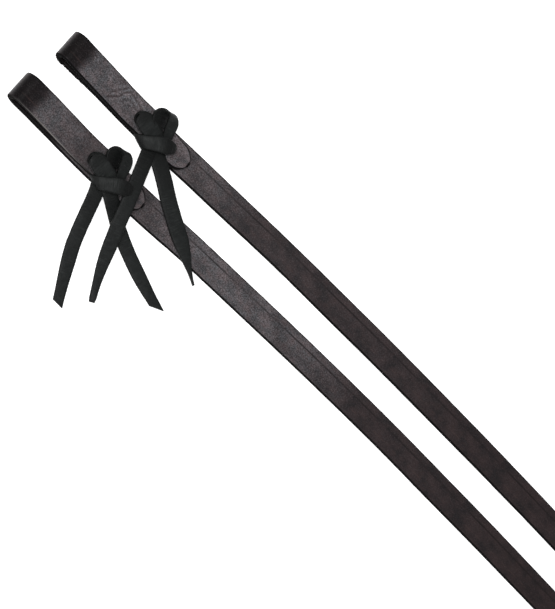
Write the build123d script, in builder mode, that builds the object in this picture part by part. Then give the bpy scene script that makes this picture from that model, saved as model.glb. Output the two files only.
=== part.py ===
from build123d import *
import math
import os

# A pair of split leather reins. Each rein is one long flat strap. Its end is folded back on top of
# itself to make a bit loop, and a leather lace tied through both layers closes the loop.
# +X runs from the loops along the reins, +Z is up, and the reins lie on Z = 0. The origin is on the
# underside of the near rein, under the middle of its bit loop. All sizes are in millimetres.

# Leather
STRAP_WIDTH = 19.05
STRAP_THICKNESS = 3.8
LACE_WIDTH = 9.5
LACE_THICKNESS = 1.8
FINISHED_LENGTH = 2133.6

# Clearance between bodies that move apart
BODY_GAP = 0.3

# Where each rein starts on the floor, and the direction of its first stretch in degrees from +X
NEAR_START = (0, 0, 0)
FAR_START = (4.3, 39.3, 0)
HEADING = 1.02

# Bit loop and tongue, measured along the rein from its start
LOOP_END = -45.0
FOLD_INNER_RADIUS = 4.0
FLAP_SLOPE = 9.6
FLAP_LANDING_RADIUS = 60.0
TONGUE_TIP = 62.0

# Lace holes through both layers, and the groove under the strap that the lace crosses in
HOLE_ALONG = 34.0
HOLE_SPACING = 8.4
HOLE_RADIUS = 2.6
PEG_RADIUS = 2.3
GROOVE_DEPTH = 2.0
GROOVE_WIDTH = 4.9
FLOOR_CLEARANCE = 0.2

# The long strap bends at BEND, runs straight, then curves gently to the right
BEND = 150.0
CURVE_START = 170.0
CURVE_RADIUS = 4375.0
CURVE_LENGTH = 298.0

# Past the curve the strap turns onto its edge, then folds back and forth into a hank. The hank stands
# on that edge, and a lace tie round its middle holds it together and carries it just off the floor.
TWIST_LENGTH = 80.0
TWIST_STEPS = 8
EDGE_RUN = 12.0
HANK_FIRST_RADIUS = 27.0
HANK_PITCH = 7.0
HANK_FOLDS = 5
TIE_GAP = 0.2

# Knot on the tongue: its band and two ears, along and across the rein from its start
BAND_CENTRE = (38.2, -7.4)
BAND_ANGLE = 25.0
BAND_LENGTH = 17.0
BAND_TOP = 14.0
LEFT_EAR = (21.5, -1.5)
RIGHT_EAR = (31.5, 8.5)
EAR_WIDTH = 10.0
EAR_TOP = 12.5

# Lace tails: the route of the middle of each lace, from its knot to its tip
NEAR_LEFT_ROUTE = [
    (33.4, -16.2, 9.2), (36.2, -20.8, 6.8), (39.6, -29.0, 2.9),
    (43.1, -39.0, 1.1), (48.2, -52.8, 0.95), (62.4, -78.8, 0.95),
]
NEAR_RIGHT_ROUTE = [
    (41.5, -10.8, 9.3), (46.0, -13.5, 8.0), (50.5, -15.7, 5.8),
    (58.0, -19.8, 3.3), (66.5, -23.6, 1.6), (76.0, -27.9, 0.95),
]
NEAR_RIGHT_TIP_ROUTE = [(77.5, -28.5, 0.95), (93.0, -34.6, 1.3), (110.5, -40.0, 0.95)]
FAR_LEFT_ROUTE = [
    (44.0, 18.5, 9.6), (47.6, 8.0, 10.2), (52.2, -5.0, 10.4), (57.0, -19.5, 9.2),
    (62.4, -31.5, 5.8), (67.5, -43.0, 2.1), (72.5, -53.5, 0.95), (78.0, -64.6, 0.95),
]
FAR_RIGHT_ROUTE = [
    (53.0, 24.3, 9.3), (62.0, 18.8, 8.9), (71.5, 12.6, 7.8), (85.0, 5.2, 6.1),
    (96.0, -0.3, 5.4), (107.0, -6.9, 5.2), (119.5, -14.6, 5.1),
]

FLAP_TOP = 2 * STRAP_THICKNESS
TIE_RISE = LACE_THICKNESS + TIE_GAP
TRIM_REACH = 3 * LACE_WIDTH
KNOT_MOUTH = LACE_WIDTH + 2
UP = Vector(0, 0, 1)


def rein_base(start):
    """Plane on the floor at a rein's start, with its x along the rein."""
    angle = math.radians(HEADING)
    return Plane(origin=start, x_dir=(math.cos(angle), math.sin(angle), 0), z_dir=UP)


def upright(base):
    """Upright plane along a plane on the floor: x along it and y up."""
    return Plane(origin=base.origin, x_dir=base.x_dir, z_dir=-base.y_dir)


def curve_exit(base):
    """Plane on the floor at the end of a rein's gentle curve, with its x along the strap."""
    turn = CURVE_LENGTH / CURVE_RADIUS
    along = CURVE_START + CURVE_RADIUS * math.sin(turn)
    across = -CURVE_RADIUS * (1 - math.cos(turn))
    heading = base.x_dir * math.cos(turn) - base.y_dir * math.sin(turn)
    return Plane(origin=base.from_local_coords(Vector(along, across, 0)), x_dir=heading, z_dir=UP)


def fold_radii():
    """Radius of the strap's middle at each fold of the hank, from the outermost fold inwards."""
    return [HANK_FIRST_RADIUS - fold * HANK_PITCH / 2 for fold in range(HANK_FOLDS)]


def hank_run():
    """Length of each straight run of the hank, which takes up the rest of the finished length."""
    laid_out = CURVE_START - LOOP_END + CURVE_LENGTH + TWIST_LENGTH + EDGE_RUN
    return (FINISHED_LENGTH - laid_out - math.pi * sum(fold_radii())) / (HANK_FOLDS + 1)


def hank_base(exit_plane, side):
    """Plane at the start of the hank's first run, under the strap's edge, with its x along the run and
    its y towards the hank. Side is +1 for a hank on the strap's left and -1 for one on its right."""
    start = exit_plane.from_local_coords(Vector(TWIST_LENGTH + EDGE_RUN, 0, TIE_RISE))
    return Plane(origin=start, x_dir=exit_plane.x_dir, z_dir=UP * side)


def corner_radii(points):
    """Largest arc at each corner of a route that its two runs leave room for."""
    radii = []
    for before, corner, after in zip(points, points[1:], points[2:]):
        run_in = Vector(*corner) - Vector(*before)
        run_out = Vector(*after) - Vector(*corner)
        turn = math.radians(run_in.get_angle(run_out))
        radii.append(0.45 * min(run_in.length, run_out.length) / math.tan(turn / 2))
    return radii


def rein_loop(base, label):
    """Folded end of a rein: the strap on the floor, the bit loop and the tongue that lies on the strap."""
    outer_radius = FOLD_INNER_RADIUS + STRAP_THICKNESS
    fold = (LOOP_END + outer_radius, outer_radius)
    slope = math.radians(FLAP_SLOPE)
    landing_drop = FLAP_LANDING_RADIUS * (1 - math.cos(slope))
    flap_drop = fold[1] + outer_radius * math.cos(slope) - FLAP_TOP - landing_drop
    inside_drop = fold[1] + FOLD_INNER_RADIUS * math.cos(slope) - STRAP_THICKNESS
    strap_end = BEND - STRAP_THICKNESS / 2 - BODY_GAP
    with BuildPart() as loop:
        with BuildSketch(upright(base)):
            with BuildLine():
                floor_run = Line((strap_end, 0), (fold[0], 0))
                outside = JernArc(floor_run @ 1, floor_run % 1, outer_radius, -(180 + FLAP_SLOPE))
                flap = Line(outside @ 1, (outside @ 1) + (outside % 1) * (flap_drop / math.sin(slope)))
                landing = JernArc(flap @ 1, flap % 1, FLAP_LANDING_RADIUS, FLAP_SLOPE)
                tongue = [(TONGUE_TIP, FLAP_TOP), (TONGUE_TIP, STRAP_THICKNESS), (strap_end, STRAP_THICKNESS)]
                Polyline(landing @ 1, *tongue, floor_run @ 0)
            make_face()
            with BuildLine():
                inside = JernArc((fold[0], STRAP_THICKNESS), (-1, 0), FOLD_INNER_RADIUS, -(180 + FLAP_SLOPE))
                under_flap = (inside @ 1) + (inside % 1) * (inside_drop / math.sin(slope))
                Polyline(inside @ 1, under_flap, inside @ 0)
            make_face(mode=Mode.SUBTRACT)
        extrude(amount=STRAP_WIDTH / 2, both=True)
        with BuildSketch(base.offset(STRAP_THICKNESS)):
            with Locations((TONGUE_TIP - STRAP_WIDTH / 2, 0)):
                Rectangle(STRAP_WIDTH, 2 * STRAP_WIDTH, align=(Align.MIN, Align.CENTER))
            with Locations((TONGUE_TIP - STRAP_WIDTH / 2, 0)):
                Circle(STRAP_WIDTH / 2, mode=Mode.SUBTRACT)
        extrude(amount=2 * STRAP_THICKNESS, mode=Mode.SUBTRACT)
        with BuildSketch(base):
            with Locations((HOLE_ALONG, HOLE_SPACING / 2), (HOLE_ALONG, -HOLE_SPACING / 2)):
                Circle(HOLE_RADIUS)
        extrude(amount=2 * FLAP_TOP, mode=Mode.SUBTRACT)
        with BuildSketch(base):
            with Locations((HOLE_ALONG, 0)):
                Rectangle(GROOVE_WIDTH, HOLE_SPACING)
        extrude(amount=GROOVE_DEPTH, mode=Mode.SUBTRACT)
    loop.part.label = label
    return loop.part


def long_strap(base, label):
    """Flat stretch of a rein past its bend, with a round end that turns about the bend's axis."""
    with BuildPart() as strap:
        with BuildSketch(base):
            with BuildLine():
                straight = Line((BEND, 0), (CURVE_START, 0))
                JernArc(straight @ 1, straight % 1, CURVE_RADIUS, -math.degrees(CURVE_LENGTH / CURVE_RADIUS))
            trace(line_width=STRAP_WIDTH)
        extrude(amount=STRAP_THICKNESS)
        with BuildSketch(upright(base)):
            with Locations((BEND, STRAP_THICKNESS / 2)):
                Circle(STRAP_THICKNESS / 2)
        extrude(amount=STRAP_WIDTH / 2, both=True)
    strap.part.label = label
    return strap.part


def strap_section(exit_plane, along, part_way, side):
    """Plane across the strap at a distance past its curve, part of the way from flat to on its edge."""
    turn = math.pi / 2 * part_way
    lift = STRAP_WIDTH / 2 * math.sin(turn) + STRAP_THICKNESS / 2 * math.cos(turn) + TIE_RISE * part_way
    middle = exit_plane.from_local_coords(Vector(along, 0, lift))
    width = exit_plane.y_dir * math.cos(turn) - UP * (side * math.sin(turn))
    return Plane(origin=middle, x_dir=width, z_dir=exit_plane.x_dir)


def strap_twist(exit_plane, side, label):
    """Stretch where the strap turns from flat onto its edge and meets the hank."""
    with BuildPart() as twist:
        for step in range(TWIST_STEPS + 1):
            share = step / TWIST_STEPS
            part_way = share * share * (3 - 2 * share)
            with BuildSketch(strap_section(exit_plane, TWIST_LENGTH * share, part_way, side)):
                Rectangle(STRAP_WIDTH, STRAP_THICKNESS)
        with BuildSketch(strap_section(exit_plane, TWIST_LENGTH + EDGE_RUN, 1, side)):
            Rectangle(STRAP_WIDTH, STRAP_THICKNESS)
        loft(ruled=True)
    twist.part.label = label
    return twist.part


def strap_hank(exit_plane, side, label):
    """Outer shape of the hank, from its first run on the near side round both of its folded ends."""
    half = STRAP_THICKNESS / 2
    run = hank_run()
    far_radius, near_radius = fold_radii()[0] + half, fold_radii()[1] + half
    hole_radius = fold_radii()[-1] - half
    with BuildPart() as hank:
        with BuildSketch(hank_base(exit_plane, side)):
            with BuildLine():
                first_run = Line((0, -half), (run, -half))
                far_fold = JernArc(first_run @ 1, first_run % 1, far_radius, 180)
                last_run = Line(far_fold @ 1, (0, (far_fold @ 1).Y))
                near_fold = JernArc(last_run @ 1, last_run % 1, near_radius, 180)
                Line(near_fold @ 1, first_run @ 0)
            make_face()
            with Locations((run / 2, HANK_FIRST_RADIUS)):
                SlotCenterToCenter(run, 2 * hole_radius, mode=Mode.SUBTRACT)
        extrude(amount=side * STRAP_WIDTH)
    hank.part.label = label
    return hank.part


def hank_tie(exit_plane, side, label):
    """Lace tied round the middle of the hank."""
    base = hank_base(exit_plane, side)
    middle = base.from_local_coords(Vector(hank_run() / 2, HANK_FIRST_RADIUS, side * STRAP_WIDTH / 2))
    inside = (2 * HANK_FIRST_RADIUS + STRAP_THICKNESS + 2 * TIE_GAP, STRAP_WIDTH + 2 * TIE_GAP)
    with BuildPart() as tie:
        with BuildSketch(Plane(origin=middle, x_dir=base.y_dir, z_dir=base.x_dir)):
            Rectangle(inside[0] + 2 * LACE_THICKNESS, inside[1] + 2 * LACE_THICKNESS)
            Rectangle(*inside, mode=Mode.SUBTRACT)
        extrude(amount=LACE_WIDTH / 2, both=True)
    tie.part.label = label
    return tie.part


def tail_side(route):
    """Upright plane along a lace tail, from its start to its tip."""
    start = Vector(route[0][0], route[0][1], 0)
    tip = Vector(route[-1][0], route[-1][1], 0)
    along = (tip - start).normalized()
    return Plane(origin=start, x_dir=along, z_dir=along.cross(UP))


def lace_tail(route, heel, label):
    """Lace along its route. It starts a heel behind the route's first point, with a round end there
    when the heel is half the lace's thickness, so that it can turn about that point."""
    side = tail_side(route)
    plan = [(x, y) for x, y, z in route]
    profile = [(side.to_local_coords(Vector(x, y, 0)).X, z) for x, y, z in route]
    first_run = (Vector(*plan[1]) - Vector(*plan[0])).normalized()
    with BuildPart() as tail:
        with BuildSketch(Plane.XY):
            with BuildLine():
                route_line = FilletPolyline(*plan, radius=corner_radii(plan))
                Line(route_line @ 0, (route_line @ 0) - first_run * heel)
            trace(line_width=LACE_WIDTH)
        extrude(amount=BAND_TOP)
        with BuildSketch(side):
            with BuildLine():
                profile_line = FilletPolyline(*profile, radius=corner_radii(profile))
                if heel > LACE_THICKNESS / 2:
                    Line(profile_line @ 0, (profile_line @ 0) - (profile_line % 0) * heel)
            trace(line_width=LACE_THICKNESS)
            with Locations(profile[0]):
                Circle(LACE_THICKNESS / 2)
        extrude(amount=TRIM_REACH, both=True, mode=Mode.INTERSECT)
    tail.part.label = label
    length = sum((Vector(*b) - Vector(*a)).length for a, b in zip(route, route[1:]))
    solid_length = tail.part.volume / (LACE_WIDTH * LACE_THICKNESS)
    print(label, "radii", [round(radius) for radius in corner_radii(route)])
    print(label, "route", round(length, 1), "volume over section", round(solid_length, 1))
    return tail.part


def lace_knot(base, tail_routes, label):
    """Knot that sits on the tongue: a band over two ears, and the lace that goes down through both
    layers and crosses under the strap. It stops short of the tails, which turn in front of it."""
    knot_plane = base.offset(FLAP_TOP)
    with BuildPart() as knot:
        with BuildSketch(knot_plane):
            with Locations(Location(BAND_CENTRE, BAND_ANGLE)):
                SlotOverall(BAND_LENGTH, LACE_WIDTH)
        extrude(amount=BAND_TOP - FLAP_TOP)
        for ear in (LEFT_EAR, RIGHT_EAR):
            with BuildSketch(knot_plane):
                with BuildLine():
                    Line(BAND_CENTRE, ear)
                trace(line_width=EAR_WIDTH)
                with Locations(ear):
                    Circle(EAR_WIDTH / 2)
            extrude(amount=EAR_TOP - FLAP_TOP)
        for route in tail_routes:
            side = tail_side(route)
            with BuildSketch(Plane(origin=side.origin, x_dir=side.x_dir, z_dir=UP)):
                with Locations((-(LACE_THICKNESS / 2 + BODY_GAP), 0)):
                    Rectangle(TRIM_REACH, KNOT_MOUTH, align=(Align.MIN, Align.CENTER))
            extrude(amount=BAND_TOP, mode=Mode.SUBTRACT)
        with BuildSketch(base.offset(FLOOR_CLEARANCE)):
            with Locations((HOLE_ALONG, HOLE_SPACING / 2), (HOLE_ALONG, -HOLE_SPACING / 2)):
                Circle(PEG_RADIUS)
        extrude(amount=FLAP_TOP)
        with BuildSketch(base.offset(FLOOR_CLEARANCE)):
            with Locations((HOLE_ALONG, 0)):
                Rectangle(2 * PEG_RADIUS, HOLE_SPACING)
        extrude(amount=GROOVE_DEPTH - 2 * FLOOR_CLEARANCE)
    knot.part.label = label
    return knot.part


near_base = rein_base(NEAR_START)
far_base = rein_base(FAR_START)
near_exit = curve_exit(near_base)
far_exit = curve_exit(far_base)

HINGED = LACE_THICKNESS / 2
FIXED = LACE_THICKNESS / 2 + BODY_GAP

pieces = [
    rein_loop(near_base, "near_rein_loop"),
    long_strap(near_base, "near_rein_strap"),
    strap_twist(near_exit, -1, "near_rein_twist"),
    strap_hank(near_exit, -1, "near_rein_hank"),
    hank_tie(near_exit, -1, "near_hank_tie"),
    lace_knot(near_base, [NEAR_LEFT_ROUTE, NEAR_RIGHT_ROUTE], "near_lace_knot"),
    lace_tail(NEAR_LEFT_ROUTE, HINGED, "near_left_tail"),
    lace_tail(NEAR_RIGHT_ROUTE, FIXED, "near_right_tail"),
    lace_tail(NEAR_RIGHT_TIP_ROUTE, HINGED, "near_right_tail_tip"),
    rein_loop(far_base, "far_rein_loop"),
    long_strap(far_base, "far_rein_strap"),
    strap_twist(far_exit, 1, "far_rein_twist"),
    strap_hank(far_exit, 1, "far_rein_hank"),
    hank_tie(far_exit, 1, "far_hank_tie"),
    lace_knot(far_base, [FAR_LEFT_ROUTE, FAR_RIGHT_ROUTE], "far_lace_knot"),
    lace_tail(FAR_LEFT_ROUTE, HINGED, "far_left_tail"),
    lace_tail(FAR_RIGHT_ROUTE, HINGED, "far_right_tail"),
]

os.makedirs("parts", exist_ok=True)
for piece in pieces:
    export_step(piece, f"parts/{piece.label}.step")
print("run of each hank", round(hank_run(), 1), "fold radii", fold_radii())
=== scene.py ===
import math
from collections import namedtuple

import bpy
from mathutils import Matrix, Vector, noise


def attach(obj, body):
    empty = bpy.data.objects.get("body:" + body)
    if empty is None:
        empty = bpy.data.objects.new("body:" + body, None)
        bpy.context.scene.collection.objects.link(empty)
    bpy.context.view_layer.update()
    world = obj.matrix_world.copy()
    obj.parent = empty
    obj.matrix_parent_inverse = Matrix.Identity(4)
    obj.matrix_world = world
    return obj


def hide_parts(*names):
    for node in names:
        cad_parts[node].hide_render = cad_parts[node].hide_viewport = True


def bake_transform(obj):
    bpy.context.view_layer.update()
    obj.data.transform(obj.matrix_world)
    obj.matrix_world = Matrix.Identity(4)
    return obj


# A pair of split leather reins with tied bit loops. Lengths are in metres, and the frame is the CAD
# model's: +X runs from the bit loops along the reins, and the reins lie on Z = 0.
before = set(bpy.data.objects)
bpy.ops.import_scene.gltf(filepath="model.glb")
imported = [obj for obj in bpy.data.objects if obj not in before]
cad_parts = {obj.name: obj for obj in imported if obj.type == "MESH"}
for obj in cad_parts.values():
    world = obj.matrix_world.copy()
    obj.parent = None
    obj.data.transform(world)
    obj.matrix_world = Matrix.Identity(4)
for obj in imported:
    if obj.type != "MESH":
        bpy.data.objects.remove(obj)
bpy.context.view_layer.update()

UP = Vector((0, 0, 1))

# Leather and route of the reins, as the CAD model has them
STRAP_WIDTH = 0.01905
STRAP_THICKNESS = 0.0038
LACE_WIDTH = 0.0095
LACE_THICKNESS = 0.0018
FINISHED_LENGTH = 2.1336
NEAR_START = Vector((0, 0, 0))
FAR_START = Vector((0.0043, 0.0393, 0))
HEADING = math.radians(1.02)
LOOP_END = -0.045
FOLD_INNER_RADIUS = 0.004
FLAP_SLOPE = math.radians(9.6)
FLAP_LANDING_RADIUS = 0.06
TONGUE_TIP = 0.062
HOLE_ALONG = 0.034
HOLE_SPACING = 0.0084
GROOVE_DEPTH = 0.002
GROOVE_WIDTH = 0.0049
CURVE_START = 0.170
CURVE_RADIUS = 4.375
CURVE_LENGTH = 0.298
TWIST_LENGTH = 0.080
EDGE_RUN = 0.012
HANK_FIRST_RADIUS = 0.027
HANK_PITCH = 0.007
HANK_FOLDS = 5
TIE_GAP = 0.0002
TIE_RISE = LACE_THICKNESS + TIE_GAP

# Sections of a strap and of a lace: their rounded corners, and, as shares of the half width, where points
# lie across them and from where they belong to the cut edge
STRAP_CORNER = 0.0009
STRAP_ACROSS = [number / 10.5 for number in range(-9, 10)]
STRAP_EDGE = 0.85
LACE_CORNER = 0.0005
LACE_ACROSS = (-0.6, -0.3, 0, 0.3, 0.6)
LACE_EDGE = 0.8
# Points along each span of a lace's route, and the angle from which an edge is sharp
LACE_STEPS = 14
SHARP_ANGLE = math.radians(50)
# Heights of a strap's broad unevenness and of the waves in its edges
STRAP_SWELL = 0.00012
STRAP_EDGE_WAVE = 0.00010
# Heights of a lace's cross creases, of what is added to them near its knot, of its crown, and of the waves
# in its edges
LACE_CREASE = 0.00004
ROOT_CREASE = 0.00010
LACE_CROWN = 0.00022
LACE_EDGE_WAVE = 0.00022

# Distance along the leather from the tongue's tip to the outermost point of the bit loop, and the leather
# that the fold's curve takes up beyond twice that
FOLD_ALONG = TONGUE_TIP - LOOP_END
FOLD_EXTRA = 0.0075
# How deep wrinkles are pressed in, how wide wrinkles and scuffs are to either side, and how far past the
# fold the edge is frayed most and how far either way the fray goes
WRINKLE_DEPTH = 0.0003
WRINKLE_REACH = 0.0009
SCUFF_REACH = 0.0011
FRAY_PAST_FOLD = 0.015
FRAY_REACH = 0.019
# How far to the left of the strap's middle its pressed line with painted shade is, and to the right its line
# of painted highlight
LINE_ACROSS = 0.0040
# Where the painted highlight along the near flap's edge is palest, and how far either way it goes
EDGE_HIGHLIGHT_MIDDLE = 0.072
EDGE_HIGHLIGHT_REACH = 0.040
# The lace tails' start under their knots: how far back and how far down, and the stretch at their tips
# that is cut slanting
TAIL_REACH = 0.010
TAIL_DIP = 0.0012
CUT_REACH = 0.012
# Share of a tail's length where the roll of its tip starts
ROLL_START = 0.9

# Routes of the lace tails, from their knots to their tips
NEAR_LEFT_ROUTE = [
    (0.0340, -0.0157, 0.0092), (0.0362, -0.0208, 0.0068), (0.0396, -0.0290, 0.0029),
    (0.0431, -0.0390, 0.0011), (0.0482, -0.0528, 0.00095), (0.0635, -0.0810, 0.00095),
]
NEAR_RIGHT_ROUTE = [
    (0.0415, -0.0108, 0.0093), (0.0460, -0.0135, 0.0080), (0.0505, -0.0157, 0.0058),
    (0.0580, -0.0198, 0.0033), (0.0665, -0.0236, 0.0016), (0.0760, -0.0279, 0.00095),
    (0.0930, -0.0346, 0.0013), (0.1124, -0.0406, 0.00095),
]
FAR_LEFT_ROUTE = [
    (0.0440, 0.0185, 0.0096), (0.0476, 0.0080, 0.0102), (0.0522, -0.0050, 0.0104),
    (0.0570, -0.0195, 0.0092), (0.0624, -0.0315, 0.0058), (0.0675, -0.0430, 0.0021),
    (0.0725, -0.0535, 0.00095), (0.0786, -0.0660, 0.00095),
]
FAR_RIGHT_ROUTE = [
    (0.0530, 0.0243, 0.0093), (0.0620, 0.0188, 0.0089), (0.0715, 0.0126, 0.0078),
    (0.0850, 0.0052, 0.0061), (0.0960, -0.0003, 0.0054), (0.1070, -0.0069, 0.0052),
    (0.1195, -0.0146, 0.0051),
]

# Camera: where it stands, the directions of its right and its up, and its lens
CAMERA_PLACE = Vector((-0.1338, -0.2610, 1.0199))
CAMERA_RIGHT = Vector((0.6858, 0.6240, 0.3746))
CAMERA_UP = Vector((-0.6730, 0.7397, 0.0))
CAMERA_LENS = 101.4


# ---------------------------------------------------------------- camera


def make_camera():
    """Camera that looks down on the loops, with the reins running down across the view."""
    camera = bpy.data.objects.new("camera", bpy.data.cameras.new("camera"))
    bpy.context.scene.collection.objects.link(camera)
    camera.data.lens = CAMERA_LENS
    right = CAMERA_RIGHT.normalized()
    up = (CAMERA_UP - right * CAMERA_UP.dot(right)).normalized()
    turn = Matrix((right, up, right.cross(up))).transposed()
    camera.matrix_world = Matrix.Translation(CAMERA_PLACE) @ turn.to_4x4()
    bpy.context.scene.camera = camera


make_camera()


# ---------------------------------------------------------------- ribbons of leather


def strap_outline(width, thickness, corner, across):
    """Upper half of a strap's section from left to right, as (across, height) shares of its half width
    and metres: a rounded corner, the points between, and the other rounded corner."""
    half = thickness / 2
    edge = 1 - 2 * corner / width
    soft = 1 - 0.6 * corner / width
    left = [(-1, half - corner), (-soft, half - 0.3 * corner), (-edge, half)]
    middle = [(share, half) for share in across]
    right = [(edge, half), (soft, half - 0.3 * corner), (1, half - corner)]
    return left + middle + right


def ribbon(name, stations, outline, full_width, shape, material, marks):
    """Closed ribbon along stations of (centre, side, normal, half width, distance along). Shape gives each
    point's small moves sideways and along the normal, for its distance along, share across and face.
    Marks are values painted on the points for the material, from the distance along and share across."""
    lower = [(share, -height) for share, height in reversed(outline)]
    ring = 2 * len(outline)
    vertices, leather, rim = [], [], []
    marked = {mark: [] for mark in marks}
    for centre, side, normal, half_width, along in stations:
        for face, points in ((1, outline), (-1, lower)):
            for share, height in points:
                out, lift = shape(along, share, face)
                vertices.append(centre + side * (share * half_width + out) + normal * (height + lift))
                leather.append((along, share * full_width / 2, height))
                rim.append((1 - abs(share)) * half_width)
                for mark, value in marks.items():
                    marked[mark].append(value(along, share))
    faces = []
    for row in range(len(stations) - 1):
        for point in range(ring):
            following = (point + 1) % ring
            first, second = row * ring, (row + 1) * ring
            faces.append((first + point, first + following, second + following, second + point))
    last = (len(stations) - 1) * ring
    for point in range(len(outline) - 1):
        opposite = ring - 1 - point
        faces.append((opposite, opposite - 1, point + 1, point))
        faces.append((last + point, last + point + 1, last + opposite - 1, last + opposite))
    mesh = bpy.data.meshes.new(name)
    mesh.from_pydata([tuple(vertex) for vertex in vertices], [], faces)
    place = mesh.attributes.new("leather", "FLOAT_VECTOR", "POINT")
    place.data.foreach_set("vector", [number for point in leather for number in point])
    for mark, values in (("rim", rim), *marked.items()):
        mesh.attributes.new(mark, "FLOAT", "POINT").data.foreach_set("value", values)
    mesh.shade_smooth()
    mesh.set_sharp_from_angle(angle=SHARP_ANGLE)
    mesh.materials.append(material)
    mesh.validate()
    piece = bpy.data.objects.new(name, mesh)
    bpy.context.scene.collection.objects.link(piece)
    return piece


def smooth(share):
    """Smooth rise from 0 to 1 as share goes from 0 to 1."""
    share = min(1.0, max(0.0, share))
    return share * share * (3 - 2 * share)


def table(pairs, share):
    """Value at a share of the way or at a distance, from pairs of (share, value), eased between them."""
    for (before, low), (after, high) in zip(pairs, pairs[1:]):
        if share <= after:
            return low + (high - low) * smooth((share - before) / (after - before))
    return pairs[-1][1]


def bump_at(value, middle, reach):
    """1 at the middle, falling smoothly to 0 at the reach on either side."""
    return 1 - smooth(abs(value - middle) / reach)


def ripple(along, across, scale, seed):
    """Even noise between about -1 and 1 that repeats exactly on every run."""
    return noise.noise(Vector((along * scale, across * scale, seed)))


# ---------------------------------------------------------------- the two reins


def rein_directions():
    """Along, and to the left of, both reins' first stretch."""
    along = Vector((math.cos(HEADING), math.sin(HEADING), 0))
    return along, UP.cross(along)


def on_rein(start, along, left, height):
    """Point at a distance along a rein, to its left, and above the floor."""
    ahead, aside = rein_directions()
    return start + ahead * along + aside * left + UP * height


def loop_line(start):
    """Centre, direction and outer face of the strap from the tongue's tip, back over the bit loop's fold
    and along the floor to where the gentle curve starts."""
    ahead, _ = rein_directions()
    half = STRAP_THICKNESS / 2
    fold_radius = FOLD_INNER_RADIUS + half
    fold_height = FOLD_INNER_RADIUS + STRAP_THICKNESS
    fold_along = LOOP_END + fold_height
    landing_radius = FLAP_LANDING_RADIUS + half
    tongue_height = 3 * half
    landing_rise = landing_radius * (1 - math.cos(FLAP_SLOPE))
    fold_top = fold_height + fold_radius * math.cos(FLAP_SLOPE)
    flap_rise = fold_top - tongue_height - landing_rise
    flap = flap_rise / math.sin(FLAP_SLOPE)
    landing_start = (fold_along + fold_radius * math.sin(FLAP_SLOPE) + flap * math.cos(FLAP_SLOPE)
                     + landing_radius * math.sin(FLAP_SLOPE))
    # Length, turn and number of stations: tongue, landing, flap, fold, and the strap on the floor
    stretches = [
        (TONGUE_TIP - landing_start, 0, 52),
        (landing_radius * FLAP_SLOPE, -FLAP_SLOPE, 12),
        (flap, 0, 44),
        (fold_radius * (math.pi + FLAP_SLOPE), math.pi + FLAP_SLOPE, 40),
        (CURVE_START - fold_along, 0, 200),
    ]
    place, height, angle, distance = TONGUE_TIP, tongue_height, math.pi, 0.0
    line = []
    for length, turn, steps in stretches:
        for step in range(steps):
            middle_angle = angle + turn / steps / 2
            direction = ahead * math.cos(angle) + UP * math.sin(angle)
            outer = ahead * math.sin(angle) - UP * math.cos(angle)
            line.append((on_rein(start, place, 0, height), direction, outer, distance))
            place += length / steps * math.cos(middle_angle)
            height += length / steps * math.sin(middle_angle)
            distance += length / steps
            angle += turn / steps
    return line, distance


def fold_radii():
    """Radius of the strap's middle at each fold of the hank, from the outermost fold inwards."""
    return [HANK_FIRST_RADIUS - fold * HANK_PITCH / 2 for fold in range(HANK_FOLDS)]


def hank_places(start, side):
    """Start of the hank's first run at the strap's lower edge, the run's direction, the direction towards
    the hank, and the run's length. Side is +1 for a hank on the strap's left and -1 on its right."""
    ahead, aside = rein_directions()
    turn = CURVE_LENGTH / CURVE_RADIUS
    exit_point = on_rein(start, CURVE_START + CURVE_RADIUS * math.sin(turn),
                         -CURVE_RADIUS * (1 - math.cos(turn)), 0)
    onward = ahead * math.cos(turn) - aside * math.sin(turn)
    laid_out = CURVE_START - LOOP_END + CURVE_LENGTH + TWIST_LENGTH + EDGE_RUN
    run = (FINISHED_LENGTH - laid_out - math.pi * sum(fold_radii())) / (HANK_FOLDS + 1)
    return exit_point + onward * (TWIST_LENGTH + EDGE_RUN), onward, UP.cross(onward) * side, run


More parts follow.
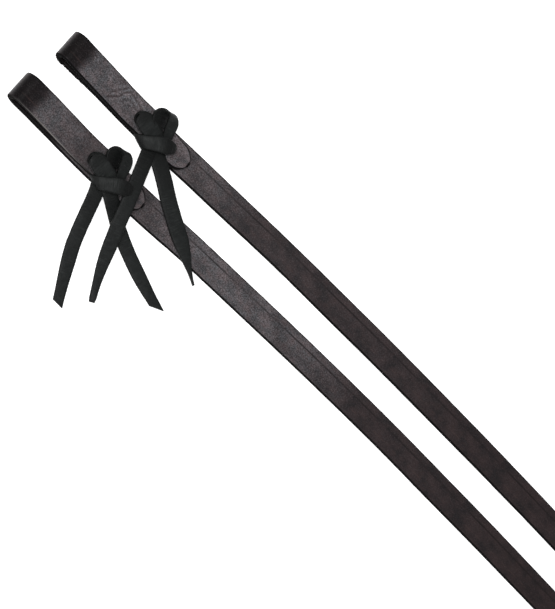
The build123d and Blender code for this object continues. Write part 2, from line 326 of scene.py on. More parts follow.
def long_line(start, side, distance):
    """The same for the gentle curve, the twist onto the strap's edge, and the hank to the far end."""
    ahead, aside = rein_directions()
    half = STRAP_THICKNESS / 2
    line = []
    curve_steps = 76
    for step in range(curve_steps):
        turn = CURVE_LENGTH / CURVE_RADIUS * step / curve_steps
        along = CURVE_START + CURVE_RADIUS * math.sin(turn)
        left = -CURVE_RADIUS * (1 - math.cos(turn))
        direction = ahead * math.cos(turn) - aside * math.sin(turn)
        line.append((on_rein(start, along, left, half), direction, -UP, distance))
        distance += CURVE_LENGTH / curve_steps
    hank_start, onward, inward, run = hank_places(start, side)
    straight = TWIST_LENGTH + EDGE_RUN
    straight_steps = 40
    for step in range(straight_steps):
        along = straight * step / straight_steps
        part_way = smooth(along / TWIST_LENGTH)
        tilt = math.pi / 2 * part_way
        lift = STRAP_WIDTH / 2 * math.sin(tilt) + half * math.cos(tilt) + TIE_RISE * part_way
        outer = -(UP * math.cos(tilt) + inward * math.sin(tilt))
        line.append((hank_start + onward * (along - straight) + UP * lift, onward, outer, distance))
        distance += straight / straight_steps
    place = hank_start + UP * (STRAP_WIDTH / 2 + TIE_RISE)
    run_steps, fold_steps = 36, 22
    angle = 0.0
    for radius in [*fold_radii(), 0]:
        direction = onward * math.cos(angle)
        for step in range(run_steps):
            line.append((place, direction, -inward * math.cos(angle), distance))
            place = place + direction * (run / run_steps)
            distance += run / run_steps
        centre = place + inward * (radius * math.cos(angle))
        for step in range(fold_steps if radius else 0):
            outward = onward * math.sin(angle) - inward * math.cos(angle)
            direction = onward * math.cos(angle) + inward * math.sin(angle)
            line.append((centre + outward * radius, direction, outward, distance))
            angle += math.pi / fold_steps
            distance += math.pi * radius / fold_steps
        place = centre + (onward * math.sin(angle) - inward * math.cos(angle)) * radius
    line.append((place, direction, line[-1][2], distance))
    return line, distance


def tongue_rounding(distance):
    """Half width of the strap near the tongue's round tip."""
    reach = STRAP_WIDTH / 2
    if distance >= reach:
        return reach
    return math.sqrt(max(0.0, reach**2 - (reach - distance) ** 2))


def end_rounding(left_over):
    """Half width of the strap near its far end, with lightly rounded corners."""
    corner = 0.003
    if left_over >= corner:
        return STRAP_WIDTH / 2
    return STRAP_WIDTH / 2 - corner + math.sqrt(max(0.0, corner**2 - (corner - left_over) ** 2))


def rein_stations(start, side):
    """Stations of one whole rein, with closer ones round the tongue's tip."""
    loop, distance = loop_line(start)
    rest, length = long_line(start, side, distance)
    line = loop + rest
    tip, direction, outer, _ = line[0]
    reach = STRAP_WIDTH / 2
    rounding = []
    tip_steps = 12
    first_step = 0.35
    last_gap = 0.0004
    for step in range(tip_steps):
        along = reach * (1 - math.cos(math.pi / 2 * (step + first_step) / tip_steps))
        rounding.append((tip + direction * along, direction, outer, along))
    line = rounding + [spot for spot in line if spot[3] > reach]
    stations = []
    for centre, direction, outer, along in line:
        half_width = min(tongue_rounding(along), end_rounding(length - along + last_gap))
        stations.append((centre, outer.cross(direction), outer, half_width, along))
    return stations, length


def gap_to(line, along, across):
    """Distance on the flat leather from a point to a line through (along, across) points."""
    gaps = []
    for (before, left), (after, right) in zip(line, line[1:]):
        run, rise = after - before, right - left
        share = ((along - before) * run + (across - left) * rise) / (run**2 + rise**2)
        share = min(1.0, max(0.0, share))
        gaps.append(math.hypot(along - before - run * share, across - left - rise * share))
    return min(gaps)


def wrinkled(wrinkles, along, across):
    """How far a point is down in a wrinkle, and how far up on the ridges beside one, from 0 to 1."""
    gap, weight = min((gap_to(line, along, across), weight) for weight, line in wrinkles)
    down = weight * (1 - smooth(gap / WRINKLE_REACH))
    up = weight * bump_at(gap, 1.5 * WRINKLE_REACH, WRINKLE_REACH)
    return down, up


def rein_shape(rein):
    """Small moves of the strap's surface: wrinkles pressed into the flap, a frayed edge near the fold, the
    groove in the underside that the lace crosses in, and the lean of either layer to the right."""
    crossing = 2 * FOLD_ALONG + FOLD_EXTRA - (TONGUE_TIP - HOLE_ALONG)

    def shape(along, share, face):
        across = share * STRAP_WIDTH / 2
        # The right edge leans fully, and the left one half as far
        out = table(rein.lean, along) * (0.75 + 0.25 * share) + table(TONGUE_TAPER, along) * max(0, -share)
        lift = face * STRAP_SWELL * ripple(along, across, 90, rein.seed + 7)
        if share > STRAP_EDGE:
            fray = abs(ripple(along, share, 700, rein.seed + 3))
            fray += 0.7 * abs(ripple(along, face, 1700, rein.seed + 5))
            out += rein.fray_depth * fray * bump_at(along, FOLD_ALONG + FRAY_PAST_FOLD, FRAY_REACH)
        if abs(share) > STRAP_EDGE:
            out += math.copysign(STRAP_EDGE_WAVE, share) * ripple(along, share, 160, rein.seed)
        if face > 0 and along < FOLD_ALONG:
            down, up = wrinkled(rein.wrinkles, along, across)
            lift += WRINKLE_DEPTH * (0.6 * up - down)
        if face > 0 and abs(along - crossing) < GROOVE_WIDTH / 2 and abs(across) < HOLE_SPACING:
            lift -= GROOVE_DEPTH
        return out, lift

    return shape


def rein_marks(rein):
    """What the rein's leather shows: wax bloom with painted sheen, a painted highlight on one edge, and
    painted shade.
    """

    def bloom(along, share):
        across = share * STRAP_WIDTH / 2
        down, up = wrinkled(rein.wrinkles, along, across) if along < FOLD_ALONG else (0, 0)
        pale = 0
        for weight, line in rein.scuffs:
            pale = max(pale, weight * (1 - smooth(gap_to(line, along, across) / SCUFF_REACH)))
        # Wax bloom with painted sheen; wrinkles lower it as painted shade and their ridges raise it as
        # painted highlight
        return table(rein.blooms, along) * (1 - 0.8 * down + 0.6 * up) + pale

    def worn(along, share):
        # Only the rounded corners on the right lie between these shares
        on_corner = 1 if 0.95 < share < 0.99 else 0
        return rein.worn_edge * on_corner * bump_at(along, EDGE_HIGHLIGHT_MIDDLE, EDGE_HIGHLIGHT_REACH)

    def painted_shade(along, share):
        return table(rein.dyes, along)

    return {"bloom": bloom, "worn": worn, "painted_shade": painted_shade}


# ---------------------------------------------------------------- laces


def spline(points):
    """Points read along the smooth NURBS line that a route of control points makes."""
    curve = bpy.data.curves.new("route", "CURVE")
    curve.dimensions = "3D"
    line = curve.splines.new("NURBS")
    line.points.add(len(points) - 1)
    for spot, point in zip(line.points, points):
        spot.co = (*point, 1)
    line.order_u = 3
    line.use_endpoint_u = True
    line.resolution_u = LACE_STEPS
    holder = bpy.data.objects.new("route", curve)
    mesh = bpy.data.meshes.new_from_object(holder)
    found = [vertex.co.copy() for vertex in mesh.vertices]
    bpy.data.objects.remove(holder)
    bpy.data.curves.remove(curve)
    bpy.data.meshes.remove(mesh)
    return found


def distances(points):
    """Distance of each point from the first, along them."""
    found = [0.0]
    for before, after in zip(points, points[1:]):
        found.append(found[-1] + (after - before).length)
    return found


def directions(points):
    """Direction of the line at each point."""
    last = len(points) - 1
    return [(points[min(i + 1, last)] - points[max(i - 1, 0)]).normalized() for i in range(last + 1)]


def lace_shape(seed, length, root_creases):
    """Small moves of a lace's surface: fine cross wrinkles, strongest where it leaves its knot, and
    slightly wavy cut edges."""

    def shape(along, share, face):
        local = along - seed
        tight = root_creases * (1 - smooth(local / (0.6 * length)))
        crease = ripple(local + 0.1 * share * LACE_WIDTH, 0.0, 620, seed)
        crease *= LACE_CREASE + ROOT_CREASE * tight
        edge = ripple(along, share, 260, seed + 2) * LACE_EDGE_WAVE
        crown = LACE_CROWN * (1 - share * share)
        return (math.copysign(edge, share) if abs(share) > LACE_EDGE else 0.0), crease + crown

    return shape


def lace_section():
    """Section of a lace at its full width."""
    return strap_outline(LACE_WIDTH, LACE_THICKNESS, LACE_CORNER, LACE_ACROSS)


def painted_lace_shade(shades, seed, length):
    """Mark of painted shade that darkens a lace, from pairs of (share of its length, how dark it is there).
    """

    def painted_shade(along, share):
        return table(shades, (along - seed) / length)

    return {"painted_shade": painted_shade}


def lace_tail(name, route, seed, widths, cut, tip_roll, material):
    """Flat lace along a route. Widths are (share of the length, share of the full width). Cut is how far the
    right edge runs past the middle at the tip, as far as the left edge falls short of it. The tip's roll
    turns the last stretch about its own line."""
    points = spline(route)
    along = distances(points)
    length = along[-1]
    stations = []
    for point, direction, distance in zip(points, directions(points), along):
        share = distance / length
        roll = tip_roll * smooth((share - ROLL_START) / (1 - ROLL_START))
        normal = (UP - direction * UP.dot(direction)).normalized()
        normal = Matrix.Rotation(roll, 3, direction) @ normal
        side = direction.cross(normal)
        width = table(widths, share) * LACE_WIDTH / 2
        stations.append((point + UP * (width * math.sin(abs(roll))), side, normal, width, distance + seed))
    outline = lace_section()
    # Painted shade at the tail's root, where it comes out from under its knot
    shades = painted_lace_shade([(0, 0.8), (0.15, 0.6), (0.45, 0)], seed, length)
    piece = ribbon(name, stations, outline, LACE_WIDTH, lace_shape(seed, length, 1.0), material, shades)
    ring = 2 * len(outline)
    forward = directions(points)[-1]
    for row, ((centre, side, *_), distance) in enumerate(zip(stations, along)):
        slide = cut * smooth(1 - (length - distance) / CUT_REACH)
        for vertex in piece.data.vertices[row * ring:(row + 1) * ring]:
            across = (vertex.co - centre).dot(side) / (LACE_WIDTH / 2)
            vertex.co += forward * (slide * across)
    return piece, points, length


def knot_ribbon(name, start, left_rail, right_rail, shades, seed, material):
    """Lace between two rails of control points (along, left, height) on a rein, in millimetres. Shades are
    (share of the length, how much painted shade darkens the lace there)."""
    rails = []
    for rail in (left_rail, right_rail):
        rails.append(spline([on_rein(start, *(number / 1000 for number in point)) for point in rail]))
    centres = [(left + right) / 2 for left, right in zip(*rails)]
    along = distances(centres)
    stations = []
    for left, right, centre, direction, distance in zip(*rails, centres, directions(centres), along):
        side = right - left
        half_width = side.length / 2
        side = side.normalized()
        normal = side.cross(direction).normalized()
        stations.append((centre, side, normal, half_width, distance + seed))
    shape = lace_shape(seed, along[-1], 0.6)
    marks = painted_lace_shade(shades, seed, along[-1])
    return ribbon(name, stations, lace_section(), LACE_WIDTH, shape, material, marks)


def hank_tie(name, start, side, seed, material):
    """Lace tied round the middle of the hank, with its end laid over its start on top."""
    hank_start, onward, inward, run = hank_places(start, side)
    middle = hank_start + onward * (run / 2)
    low = LACE_THICKNESS / 2
    high = TIE_RISE + STRAP_WIDTH + TIE_GAP + low
    near = -(STRAP_THICKNESS / 2 + TIE_GAP + low)
    far = 2 * HANK_FIRST_RADIUS - near
    round_off = 0.0035
    on_top = high + LACE_THICKNESS
    section = [
        (0.4 * far, high), (0.2 * far, high), (near + round_off, high), (near, high),
        (near, high - round_off), (near, low + round_off), (near, low), (near + round_off, low),
        (far - round_off, low), (far, low), (far, low + round_off), (far, high - round_off),
        (far, high), (far - round_off, high), (0.6 * far, high), (0.42 * far, on_top),
        (0.3 * far, on_top), (0.12 * far, on_top),
    ]
    points = spline([middle + inward * across + UP * height for across, height in section])
    along = distances(points)
    stations = []
    for point, direction, distance in zip(points, directions(points), along):
        stations.append((point, onward, onward.cross(direction), LACE_WIDTH / 2, distance + seed))
    shape = lace_shape(seed, along[-1], 0.3)
    return ribbon(name, stations, lace_section(), LACE_WIDTH, shape, material, {})


# Rails of the knot's laces on either rein: (along, left, height) in millimetres
LEFT_EAR_RAILS = (
    [(37, -9.0, 9.6), (30, -9.6, 11.2), (23.5, -9.2, 12.0), (18.2, -7.0, 12.8), (16.9, -4.6, 13.0),
     (17.0, -1.2, 13.2), (16.6, 0.2, 12.4), (15.6, -2.2, 11.2), (16.2, -5.0, 10.2), (19.0, -7.4, 9.0),
     (31, -7, 8.6)],
    [(39, 0.0, 10.2), (31, 1.6, 12.4), (25.3, 2.9, 13.2), (21.6, 3.4, 13.6), (19.6, 2.8, 13.6),
     (18.6, 1.6, 13.2), (18.4, 1.0, 11.0), (18.6, 0.8, 9.8), (19.5, 0.6, 9.2), (22.0, 0.4, 8.8),
     (31, 1, 8.6)],
)
RIGHT_EAR_RAILS = (
    [(35.5, -4.4, 9.6), (29.8, -2.2, 12.0), (24.4, 1.2, 14.0), (21.9, 5.4, 15.2), (23.8, 10.4, 15.8),
     (30.0, 11.6, 15.2), (32.0, 8.0, 14.4), (34.4, 2.4, 13.2), (37.8, -3.2, 11.0)],
    [(36, -3.0, 8.8), (34.5, 2.0, 8.6), (34.0, 5.4, 8.6), (33.2, 8.6, 8.6), (32.0, 12.0, 9.0),
     (34.6, 14.8, 10.2), (40.0, 11.2, 11.4), (42.0, 2.4, 11.0), (43.5, -3.0, 10.0)],
)
BAND_RAILS = (
    [(34, -5.0, 8.4), (27, -9.6, 7.6), (22.6, -11.6, 7.4), (23.2, -11.4, 9.6), (28.4, -8.9, 13.0),
     (35.5, -2.7, 14.6), (41.0, -0.4, 14.4), (45.8, 0.4, 13.0), (47.8, -0.6, 10.6), (44.0, -2.6, 9.6)],
    [(39, -9.0, 8.4), (35.5, -13.6, 8.2), (32.4, -15.8, 9.0), (32.8, -15.6, 11.0), (34.4, -14.9, 12.8),
     (41.0, -11.3, 14.0), (45.8, -8.8, 13.4), (48.4, -5.4, 11.8), (49.2, -3.4, 10.0), (46.0, -7.6, 9.6)],
)
CROSSING_RAILS = (
    [(31.7, 4.2, 9.0), (31.7, 4.2, 3.0), (31.7, 3.4, 1.1), (31.7, -3.4, 1.1), (31.7, -4.2, 3.0),
     (31.7, -4.2, 9.0)],
    [(36.3, 4.2, 9.0), (36.3, 4.2, 3.0), (36.3, 3.4, 1.1), (36.3, -3.4, 1.1), (36.3, -4.2, 3.0),
     (36.3, -4.2, 9.0)],
)


# ---------------------------------------------------------------- materials


def new_material(name):
    """Empty material and its Principled shader."""
    material = bpy.data.materials.new(name)
    material.use_nodes = True
    return material, material.node_tree, material.node_tree.nodes["Principled BSDF"]


def leather_place(tree, stretch=(1, 1, 1)):
    """Coordinates along, across and through the flat leather, stretched."""
    read = tree.nodes.new("ShaderNodeAttribute")
    read.attribute_name = "leather"
    mapping = tree.nodes.new("ShaderNodeMapping")
    mapping.inputs["Scale"].default_value = stretch
    tree.links.new(read.outputs["Vector"], mapping.inputs["Vector"])
    return mapping.outputs["Vector"]


def mottle(tree, place, scale, detail, low, high, rough=0.55):
    """Noise in leather space, spread between 0 at low and 1 at high."""
    pattern = tree.nodes.new("ShaderNodeTexNoise")
    pattern.inputs["Scale"].default_value = scale
    pattern.inputs["Detail"].default_value = detail
    pattern.inputs["Roughness"].default_value = rough
    tree.links.new(place, pattern.inputs["Vector"])
    spread = tree.nodes.new("ShaderNodeMapRange")
    spread.inputs["From Min"].default_value = low
    spread.inputs["From Max"].default_value = high
    tree.links.new(pattern.outputs["Fac"], spread.inputs["Value"])
    return spread.outputs["Result"]


def cells(tree, place, scale):
    """Distance to the nearest pore of a fine leather grain."""
    pattern = tree.nodes.new("ShaderNodeTexVoronoi")
    pattern.inputs["Scale"].default_value = scale
    tree.links.new(place, pattern.inputs["Vector"])
    return pattern.outputs["Distance"]


def blended(tree, share, low, high):
    """Colour between low and high, each a colour or a socket."""
    mix = tree.nodes.new("ShaderNodeMix")
    mix.data_type = "RGBA"
    tree.links.new(share, mix.inputs[0])
    for socket, value in ((mix.inputs[6], low), (mix.inputs[7], high)):
        if isinstance(value, bpy.types.NodeSocket):
            tree.links.new(value, socket)
        else:
            socket.default_value = (*value, 1)
    return mix.outputs[2]


def maths(tree, kind, first, second):
    """Result of a sum, product or other step on sockets or numbers."""
    step = tree.nodes.new("ShaderNodeMath")
    step.operation = kind
    for socket, value in zip(step.inputs, (first, second)):
        if isinstance(value, bpy.types.NodeSocket):
            tree.links.new(value, socket)
        else:
            socket.default_value = value
    return step.outputs[0]


def map_range(tree, value, source, target):
    """Value moved from one range to another and kept inside it."""
    step = tree.nodes.new("ShaderNodeMapRange")
    step.inputs["From Min"].default_value, step.inputs["From Max"].default_value = source
    step.inputs["To Min"].default_value, step.inputs["To Max"].default_value = target
    tree.links.new(value, step.inputs["Value"])
    return step.outputs["Result"]


def raised(tree, height, distance, strength, below=None):
    """Bump of a height, on top of another bump."""
    bump = tree.nodes.new("ShaderNodeBump")
    bump.inputs["Distance"].default_value = distance
    bump.inputs["Strength"].default_value = strength
    tree.links.new(height, bump.inputs["Height"])
    if below is not None:
        tree.links.new(below, bump.inputs["Normal"])
    return bump.outputs["Normal"]


def separate(tree, place):
    """Along, across and through as three values."""
    split = tree.nodes.new("ShaderNodeSeparateXYZ")
    tree.links.new(place, split.inputs["Vector"])
    return split.outputs


def band_at(tree, value, middle, inner, outer):
    """1 where a value is within inner of the middle, falling to 0 at outer."""
    away = maths(tree, "ABSOLUTE", maths(tree, "SUBTRACT", value, middle), 0)
    return map_range(tree, away, (inner, outer), (1, 0))


def painted(tree, mark):
    """Value painted on the points under a name."""
    read = tree.nodes.new("ShaderNodeAttribute")
    read.attribute_name = mark
    return read.outputs["Fac"]


def rein_leather():
    """Oiled harness leather: blue-black and reddish dye in clouds, speckled grain, a pressed line darkened
    as painted shade and a paler line of painted highlight, black edges widened round the tongue's tip as
    painted shadow, painted shade where it is marked, and a grey wax bloom with painted sheen where that is
    painted on."""
    material, tree, shader = new_material("rein_leather")
    place = leather_place(tree)
    along, across, _ = separate(tree, place)
    bloom = painted(tree, "bloom")
    cloud = mottle(tree, leather_place(tree, (0.6, 1, 1)), 95, 4, 0.4, 0.62)
    patch = mottle(tree, leather_place(tree, (0.8, 1, 1)), 230, 5, 0.4, 0.66)
    grain = mottle(tree, place, 1150, 3, 0.40, 0.64, 0.7)
    speck = mottle(tree, place, 1500, 2, 0.55, 0.68)
    colour = blended(tree, cloud, (0.0104, 0.0087, 0.0096), (0.0218, 0.0138, 0.0141))
    colour = blended(tree, maths(tree, "MULTIPLY", patch, 0.5), colour, (0.0305, 0.0188, 0.0188))
    colour = blended(tree, maths(tree, "MULTIPLY", grain, 0.25), colour, (0.0345, 0.0245, 0.0250))
    # Painted shade round the bit loop's fold and on the strap under the flap
    colour = blended(tree, painted(tree, "painted_shade"), colour, (0.0030, 0.0022, 0.0025))
    # Grey wax bloom with painted sheen in place of the light's reflection; the pale flecks follow it too
    wax_and_sheen_colour = blended(tree, patch, (0.158, 0.164, 0.178), (0.215, 0.182, 0.192))
    wax_and_sheen_cover = maths(tree, "MULTIPLY", bloom, map_range(tree, grain, (0, 1), (0.12, 0.75)))
    wax_and_sheen_cover = maths(tree, "MULTIPLY", wax_and_sheen_cover, map_range(tree, cloud, (0, 1), (0.5, 1.0)))
    colour = blended(tree, wax_and_sheen_cover, colour, wax_and_sheen_colour)
    flecks = maths(tree, "MULTIPLY", speck, map_range(tree, bloom, (0, 1), (0.06, 0.5)))
    colour = blended(tree, flecks, colour, (0.210, 0.185, 0.190))
    broken = map_range(tree, cloud, (0, 1), (0.3, 0.9))
    # Painted shade along a pressed line on the left, and a painted highlight along a line on the right
    groove_shade = band_at(tree, across, -LINE_ACROSS, 0.0001, 0.0008)
    groove_shade = maths(tree, "MULTIPLY", groove_shade, map_range(tree, along, (0.12, 0.24), (0, 1)))
    groove_highlight = maths(tree, "MULTIPLY", band_at(tree, across, LINE_ACROSS, 0.00005, 0.0006), patch)
    colour = blended(tree, maths(tree, "MULTIPLY", groove_shade, broken), colour, (0.0075, 0.0060, 0.0060))
    colour = blended(tree, maths(tree, "MULTIPLY", groove_highlight, 0.35), colour, (0.0620, 0.0400, 0.0370))
    # Black cut edges, their dark rim widened round the tongue's tip as painted shadow where it lies on the
    # strap
    rim_width_with_tip_shadow = map_range(tree, along, (0.006, 0.016), (0.0014, 0.0008))
    edge = maths(tree, "DIVIDE", maths(tree, "MINIMUM", painted(tree, "rim"), along), rim_width_with_tip_shadow)
    edge = map_range(tree, edge, (0.75, 1.1), (1, 0))
    colour = blended(tree, edge, colour, (0.0040, 0.0037, 0.0037))
    # Painted highlight along the near flap's rounded right corner
    colour = blended(tree, painted(tree, "worn"), colour, (0.20, 0.185, 0.18))
    tree.links.new(colour, shader.inputs["Base Color"])
    rough = map_range(tree, grain, (0, 1), (0.46, 0.36))
    rough = maths(tree, "ADD", rough, maths(tree, "MULTIPLY", patch, 0.06))
    rough = maths(tree, "ADD", rough, maths(tree, "MULTIPLY", edge, 0.4))
    tree.links.new(rough, shader.inputs["Roughness"])
    # Dark edges and painted shade also shine less
    dull = maths(tree, "MAXIMUM", edge, maths(tree, "MULTIPLY", painted(tree, "painted_shade"), 0.7))
    tree.links.new(map_range(tree, dull, (0, 1), (0.2, 0.03)), shader.inputs["Specular IOR Level"])
    pores = raised(tree, cells(tree, place, 1300), 0.00009, 0.5)
    folds = mottle(tree, leather_place(tree, (1.6, 0.8, 1)), 330, 5, 0.3, 0.7)
    wrinkle = raised(tree, folds, 0.00014, 0.5, pores)
    pressed = raised(tree, maths(tree, "SUBTRACT", 1, groove_shade), 0.00010, 0.6, wrinkle)
    tree.links.new(pressed, shader.inputs["Normal"])
    return material


def lace_leather():
    """Matt black lace leather: short cross creases with paler crests, a soft nap, dark cut edges widened as
    painted shade along the borders, and painted shade where it is marked.
    """
    material, tree, shader = new_material("lace_leather")
    place = leather_place(tree)
    cloud = mottle(tree, place, 260, 5, 0.35, 0.7)
    nap = mottle(tree, place, 1900, 3, 0.4, 0.75)
    creases = mottle(tree, leather_place(tree, (3.2, 0.35, 1)), 420, 4, 0.35, 0.7)
    colour = blended(tree, cloud, (0.0058, 0.0069, 0.0067), (0.0112, 0.0128, 0.0126))
    colour = blended(tree, maths(tree, "MULTIPLY", nap, 0.3), colour, (0.0185, 0.0205, 0.0202))
    crests = map_range(tree, creases, (0.6, 1.0), (0, 0.35))
    colour = blended(tree, crests, colour, (0.0330, 0.0365, 0.0350))
    # Dark cut edges, widened as painted shade along the borders, and the painted shade of knots and tails'
    # roots
    edge = map_range(tree, painted(tree, "rim"), (0.0002, 0.0012), (0.9, 0))
    edge = maths(tree, "MAXIMUM", edge, painted(tree, "painted_shade"))
    colour = blended(tree, edge, colour, (0.0026, 0.0030, 0.0029))
    tree.links.new(colour, shader.inputs["Base Color"])
    tree.links.new(map_range(tree, cloud, (0, 1), (0.60, 0.48)), shader.inputs["Roughness"])
    shader.inputs["Specular IOR Level"].default_value = 0.16
    folded = raised(tree, creases, 0.00025, 0.6)
    tree.links.new(raised(tree, cells(tree, place, 2100), 0.00006, 0.5, folded), shader.inputs["Normal"])
    return material


# ---------------------------------------------------------------- making the pieces

# Distance from the tongue's tip, and how far the tongue's left edge is trimmed away there
TONGUE_TAPER = [(0, 0.0034), (0.012, 0.0026), (0.030, 0)]
# Weight of each wrinkle in a flap, and its line of (distance from the tongue's tip, distance to the right)
NEAR_WRINKLES = [
    (0.4, [(0.0640, 0.0050), (0.0600, 0.0010), (0.0590, -0.0050)]),
    (0.3, [(0.0760, 0.0040), (0.0730, -0.0020), (0.0735, -0.0070)]),
]
FAR_WRINKLES = [
    (0.9, [(0.0679, 0.0028), (0.0642, -0.0022), (0.0607, -0.0069)]),
    (1.0, [(0.0672, 0.0062), (0.0618, 0.0010), (0.0606, -0.0033), (0.0579, -0.0060), (0.0547, -0.0061),
           (0.0445, -0.0038)]),
    (0.6, [(0.0581, 0.0022), (0.0569, -0.0014), (0.0546, -0.0025), (0.0484, -0.0012), (0.0447, -0.0012)]),
]
# The same for each pale scuff on the far flap
FAR_SCUFFS = [
    (1.1, [(0.0890, -0.0046), (0.0864, -0.0036), (0.0878, -0.0064)]),
    (0.5, [(0.0885, 0.0037), (0.0800, 0.0046), (0.0734, 0.0062)]),
    (0.5, [(0.0780, -0.0050), (0.0715, -0.0010)]),
]
# Distance from the tongue's tip, and how much grey wax bloom and painted sheen the leather shows there. The
# painted sheen is strongest near the bit loops, with a narrow painted highlight along the fold's edge
NEAR_WAX_AND_SHEEN = [
    (0, 0.65), (0.05, 0.45), (0.068, 0.85), (0.085, 1.25), (0.0935, 0.10), (0.104, 0.0), (0.109, 0.35),
    (0.112, 0.0), (0.148, 0.0), (0.165, 0.7), (0.185, 0.6), (0.2, 0.3), (0.25, 1.08), (0.31, 1.05),
    (0.345, 0.85), (0.42, 0.12), (0.7, 0),
]
FAR_WAX_AND_SHEEN = [
    (0, 1.0), (0.03, 1.0), (0.060, 1.05), (0.075, 1.15), (0.0865, 1.3), (0.0945, 0.10), (0.104, 0.0),
    (0.109, 0.4), (0.112, 0.0), (0.19, 0.9), (0.23, 0.75), (0.28, 0.25), (0.36, 0.2), (0.5, 0.08), (0.7, 0),
]
# Distance from the tongue's tip, and how much painted shade darkens the leather there: round the bit loop's
# fold, less at the fold's lit edge, and on the strap under the flap
FOLD_SHADE = [(0.083, 0), (0.096, 0.85), (0.104, 0.95), (0.1085, 0.2), (0.114, 0.9)]
NEAR_SHADE = [*FOLD_SHADE, (0.145, 0.9), (0.162, 0)]
FAR_SHADE = [*FOLD_SHADE, (0.150, 0.9), (0.190, 0)]
# Distance from the tongue's tip, and how far the strap leans to its right there
NEAR_LEAN = [
    (0, 0.0012), (0.05, 0.0006), (0.09, 0.0), (0.11, 0.0002), (0.186, 0.0026), (0.218, 0.0013),
    (0.27, 0.0), (0.43, 0.0002), (0.50, 0.0009), (0.56, 0.0007), (0.64, 0.0),
]
FAR_LEAN = [
    (0, 0.0013), (0.04, 0.0010), (0.09, 0.0006), (0.11, -0.0002), (0.13, 0.0002), (0.186, 0.0017),
    (0.235, 0.0010), (0.30, 0.0003), (0.37, 0.0012), (0.46, 0.0016), (0.52, 0.0013), (0.56, 0.0009),
    (0.64, 0.0),
]
Rein = namedtuple("Rein", "label start hank_side seed wrinkles scuffs lean fray_depth blooms dyes worn_edge")
REINS = [
    Rein("near", NEAR_START, hank_side=-1, seed=0.0, wrinkles=NEAR_WRINKLES, scuffs=[], lean=NEAR_LEAN,
         fray_depth=0.0, blooms=NEAR_WAX_AND_SHEEN, dyes=NEAR_SHADE, worn_edge=1.0),
    Rein("far", FAR_START, hank_side=1, seed=20.0, wrinkles=FAR_WRINKLES, scuffs=FAR_SCUFFS, lean=FAR_LEAN,
         fray_depth=0.0016, blooms=FAR_WAX_AND_SHEEN, dyes=FAR_SHADE, worn_edge=0.0),
]

Tail = namedtuple("Tail", "name rein route seed widths cut tip_roll nodes hinge")
TAILS = [
    Tail("near_left_lace", "near_rein", NEAR_LEFT_ROUTE, seed=3.0, widths=[(0, 1), (0.6, 0.98), (1, 0.72)],
         cut=-0.0028, tip_roll=0.0, nodes=["near_left_tail"], hinge=NEAR_LEFT_ROUTE[0]),
    Tail("near_right_lace", "near_rein", NEAR_RIGHT_ROUTE, seed=4.0, widths=[(0, 1), (0.7, 0.95), (1, 0.70)],
         cut=-0.0056, tip_roll=0.0, nodes=["near_right_tail", "near_right_tail_tip"],
         hinge=(0.0775, -0.0285, 0.00095)),
    Tail("far_left_lace", "far_rein", FAR_LEFT_ROUTE, seed=5.0,
         widths=[(0, 1), (0.62, 0.98), (0.97, 0.5), (1, 0.36)], cut=0.0, tip_roll=0.5,
         nodes=["far_left_tail"], hinge=FAR_LEFT_ROUTE[0]),
    Tail("far_right_lace", "far_rein", FAR_RIGHT_ROUTE, seed=6.0, widths=[(0, 1.1), (0.62, 1.12), (1, 0.14)],
         cut=0.0, tip_roll=0.0, nodes=["far_right_tail"], hinge=FAR_RIGHT_ROUTE[0]),
]

# Each of the knot's parts, and how much painted shade darkens the lace along it, by share of its length
KNOT_PARTS = [
    ("left_ear", LEFT_EAR_RAILS, [(0.05, 0.5), (0.15, 0.0), (0.30, 0.1), (0.44, 0.6), (0.52, 0.95)]),
    ("right_ear", RIGHT_EAR_RAILS,
     [(0.0, 0.95), (0.40, 0.85), (0.52, 0.3), (0.62, 0.0), (0.85, 0.1), (1, 0.8)]),
    ("band", BAND_RAILS, [(0.34, 0.75), (0.44, 0.2), (0.60, 0.0), (0.74, 0.95)]),
    ("crossing", CROSSING_RAILS, [(0, 0.3), (1, 0.3)]),
]
# How far the near knot's parts are moved, along X and Y, from where the far knot's lie on their rein
NEAR_SHIFTS = {"band": Vector((0.0013, 0.0012, 0)), "right_ear": Vector((-0.0010, 0.0012, 0))}


def make_rein(rein, rein_finish, lace_finish):
    """One rein, and the tie round its hank."""
    label, start = rein.label, rein.start
    stations, length = rein_stations(start, rein.hank_side)
    section = strap_outline(STRAP_WIDTH, STRAP_THICKNESS, STRAP_CORNER, STRAP_ACROSS)
    strap = ribbon(f"{label}_rein", stations, section, STRAP_WIDTH, rein_shape(rein), rein_finish,
                   rein_marks(rein))
    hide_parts(f"{label}_rein_loop", f"{label}_rein_strap", f"{label}_rein_twist",
                f"{label}_rein_hank")
    tie = hank_tie(f"{label}_tie", start, rein.hank_side, 12.0 + rein.seed, lace_finish)
    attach(tie, f"{label}_strap")
    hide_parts(f"{label}_hank_tie")
    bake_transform(strap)


def make_tail(tail, lace_finish):
    """One tail of a lace, which starts under its knot."""
    first, second = Vector(tail.route[0]), Vector(tail.route[1])
    back = Vector((first.x - second.x, first.y - second.y, 0)).normalized()
    root = first + back * TAIL_REACH - UP * TAIL_DIP
    lace, points, length = lace_tail(tail.name, [root, *tail.route], tail.seed, tail.widths, tail.cut,
                                     tail.tip_roll, lace_finish)
    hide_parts(*tail.nodes)
    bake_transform(lace)


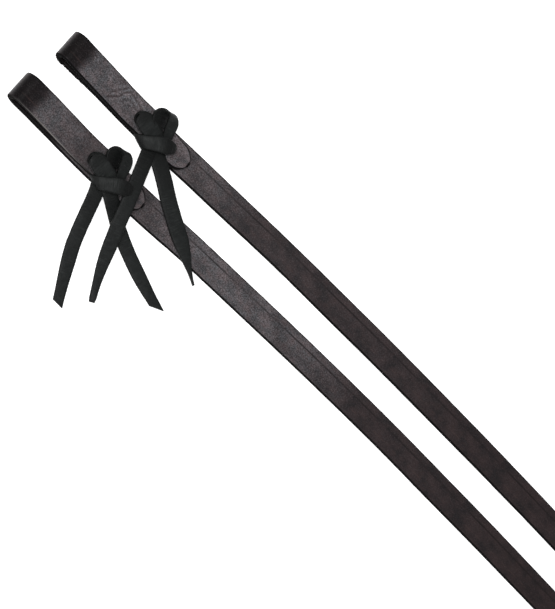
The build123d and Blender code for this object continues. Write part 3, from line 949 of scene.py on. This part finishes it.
def make_knot(rein, lace_finish):
    """The knot on one rein: two ears, the band across them, and the crossing underneath."""
    shifts = NEAR_SHIFTS if rein.label == "near" else {}
    for number, (part, rails, shades) in enumerate(KNOT_PARTS):
        place = rein.start + shifts.get(part, Vector((0, 0, 0)))
        piece = knot_ribbon(f"{rein.label}_knot_{part}", place, *rails, shades, 8.0 + rein.seed + number,
                            lace_finish)
        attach(piece, f"{rein.label}_rein")
        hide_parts(f"{rein.label}_lace_knot")


def make_pieces():
    """Both reins, the four tails of their laces, and their knots."""
    rein_finish = rein_leather()
    lace_finish = lace_leather()
    for rein in REINS:
        make_rein(rein, rein_finish, lace_finish)
    for tail in TAILS:
        make_tail(tail, lace_finish)
    for rein in REINS:
        make_knot(rein, lace_finish)


make_pieces()


# ---------------------------------------------------------------- floor and light

# Reach of the floor, and how far below the reins it lies
FLOOR_REACH = 60.0
FLOOR_GAP = 0.0001
# Height in the surround, from 0 at the horizon to 1 overhead, and how bright it is there
SKY_LEVELS = [(0.0, 1.25), (0.12, 1.0), (0.35, 0.7), (0.62, 0.6), (0.88, 0.05)]
SKY_STRENGTH = 0.8
# Light: where it stands, what it is turned to, its width and its power
KEY_PLACE = Vector((-0.35, -0.30, 1.45))
KEY_TARGET = Vector((0.15, 0, 0))
KEY_SIZE = 0.8
KEY_POWER = 22


def make_floor():
    """Plain pale floor."""
    mesh = bpy.data.meshes.new("floor")
    corners = [(-1, -1), (1, -1), (1, 1), (-1, 1)]
    mesh.from_pydata([(x * FLOOR_REACH, y * FLOOR_REACH, 0) for x, y in corners], [], [(0, 1, 2, 3)])
    floor = bpy.data.objects.new("floor", mesh)
    bpy.context.scene.collection.objects.link(floor)
    floor.location.z = -FLOOR_GAP
    material, _, shader = new_material("floor")
    shader.inputs["Base Color"].default_value = (0.9, 0.9, 0.9, 1)
    shader.inputs["Roughness"].default_value = 0.9
    shader.inputs["Specular IOR Level"].default_value = 0.1
    shader.inputs["Emission Color"].default_value = (1, 1, 1, 1)
    shader.inputs["Emission Strength"].default_value = 0.66
    mesh.materials.append(material)


def make_world():
    """Soft surround, pale near the horizon and dimmer overhead."""
    world = bpy.data.worlds.new("surround")
    bpy.context.scene.world = world
    world.use_nodes = True
    tree = world.node_tree
    background = tree.nodes["Background"]
    direction = tree.nodes.new("ShaderNodeTexCoord")
    height = separate(tree, direction.outputs["Generated"])[2]
    glow = tree.nodes.new("ShaderNodeValToRGB")
    ramp = glow.color_ramp
    ramp.interpolation = "EASE"
    first, *between, last = SKY_LEVELS
    for element, (position, level) in zip(ramp.elements, (first, last)):
        element.position = position
        element.color = (level, level, level, 1)
    for position, level in between:
        ramp.elements.new(position).color = (level, level, level, 1)
    tree.links.new(height, glow.inputs["Fac"])
    tree.links.new(glow.outputs["Color"], background.inputs["Color"])
    background.inputs["Strength"].default_value = SKY_STRENGTH


def make_light():
    """Soft light above the camera, turned to the knots."""
    light = bpy.data.objects.new("key", bpy.data.lights.new("key", "AREA"))
    bpy.context.scene.collection.objects.link(light)
    light.data.shape = "SQUARE"
    light.data.size = KEY_SIZE
    light.data.energy = KEY_POWER
    light.location = KEY_PLACE
    light.rotation_mode = "QUATERNION"
    light.rotation_quaternion = (KEY_PLACE - KEY_TARGET).to_track_quat("Z", "Y")


make_floor()
make_world()
make_light()
bpy.context.scene.view_settings.view_transform = "Standard"
